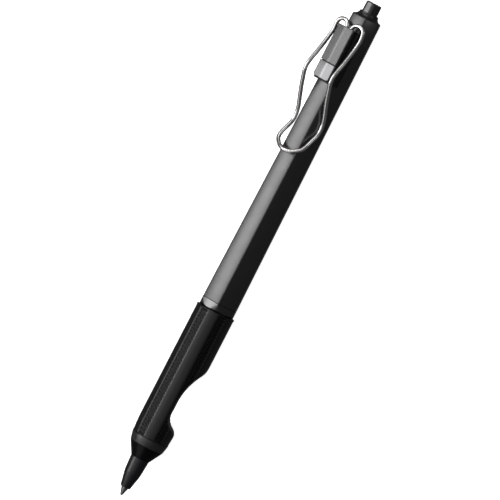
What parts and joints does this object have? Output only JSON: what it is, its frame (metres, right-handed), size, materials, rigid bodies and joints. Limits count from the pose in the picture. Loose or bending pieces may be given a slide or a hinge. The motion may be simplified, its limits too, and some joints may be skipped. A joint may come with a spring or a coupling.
{
  "type": "gel pen",
  "caption": "Retractable gel pen with a tapered hexagonal barrel, bent wire clip, push button and a hatched rubber grip with finger recesses.",
  "frame": {"origin": "middle of the pen's length with the tip out, on its middle plane, at the height of the grip's lowest point", "axes": "+X along the pen towards the push button, +Z towards the clip, +Y across the pen"},
  "size_m": [0.1466, 0.011, 0.0147],
  "materials": {
    "barrel_lacquer": "satin black lacquer on metal",
    "rear_trim": "satin black",
    "clip_block": "matte black",
    "cover_metal": "satin gunmetal",
    "cap_metal": "satin",
    "wire_chrome": "polished",
    "nozzle_metal": "satin gunmetal",
    "cone_gloss": "glossy black",
    "ring_metal": "dark satin",
    "grip_rubber": "fine slanted hatching between smooth lands",
    "collar_metal": "satin",
    "button_plastic": "black",
    "inner_plastic": "ivory, plain",
    "core_plastic": "black, plain",
    "seal_rubber": "plain",
    "ball_metal": "polished",
    "tip_metal": "turned",
    "holder_plastic": "milky",
    "tube_plastic": "milky, see-through in reality",
    "ink_black": "wet black gel",
    "follower_grease": "pale grease",
    "spring_steel": "drawn wire"
  },
  "bodies": {
    "barrel": {"barrel": "barrel_lacquer", "rear_collar": "rear_trim", "cam_sleeve": "inner_plastic", "clip_base": "clip_block", "clip_cover_plate": "cover_metal", "clip_end_cap": "cap_metal"},
    "clip": {"clip_wire": "wire_chrome"},
    "seal": {"o_ring": "seal_rubber"},
    "front": {"nozzle": "nozzle_metal", "nose_cone": "cone_gloss", "front_ring": "ring_metal", "grip": "grip_rubber", "grip_core": "core_plastic", "front_collar": "collar_metal", "return_spring": "spring_steel"},
    "knock": {"push_button": "button_plastic", "plunger": "inner_plastic"},
    "refill": {"tip_cone": "tip_metal", "tip_holder": "holder_plastic", "refill_tube": "tube_plastic", "gel_ink": "ink_black", "ink_follower": "follower_grease", "refill_plug": "holder_plastic", "cam_rotor": "inner_plastic", "ball": "ball_metal"}
  },
  "joints": [
    {"name": "knock_slide", "type": "slide", "parent": "barrel", "child": "knock", "axis": [1, 0, 0], "range_m": [-0.001, 0.0055], "stiffness_N_per_m": 120, "springref_m": 0.0085, "deforming": ["return_spring"]},
    {"name": "refill_slide", "type": "slide", "parent": "barrel", "child": "refill", "axis": [1, 0, 0], "range_m": [-0.001, 0.0055]},
    {"name": "front_draw", "type": "slide", "parent": "barrel", "child": "seal", "axis": [-1, 0, 0], "range_m": [0, 0.005]},
    {"name": "front_turn", "type": "hinge", "parent": "seal", "child": "front", "pos_m": [0, 0, 0.0055], "axis": [-1, 0, 0], "range_deg": [0, 1800]},
    {"name": "clip_flex", "type": "hinge", "parent": "barrel", "child": "clip", "pos_m": [0.0647, 0, 0.011], "axis": [0, 1, 0], "range_deg": [0, 4.5], "stiffness_Nm_per_rad": 0.5}
  ],
  "couplings": [
    {"joint": "refill_slide", "follows": "knock_slide", "ratio": 1},
    {"joint": "front_draw", "follows": "front_turn", "m_per_rad": 0.000159}
  ]
}
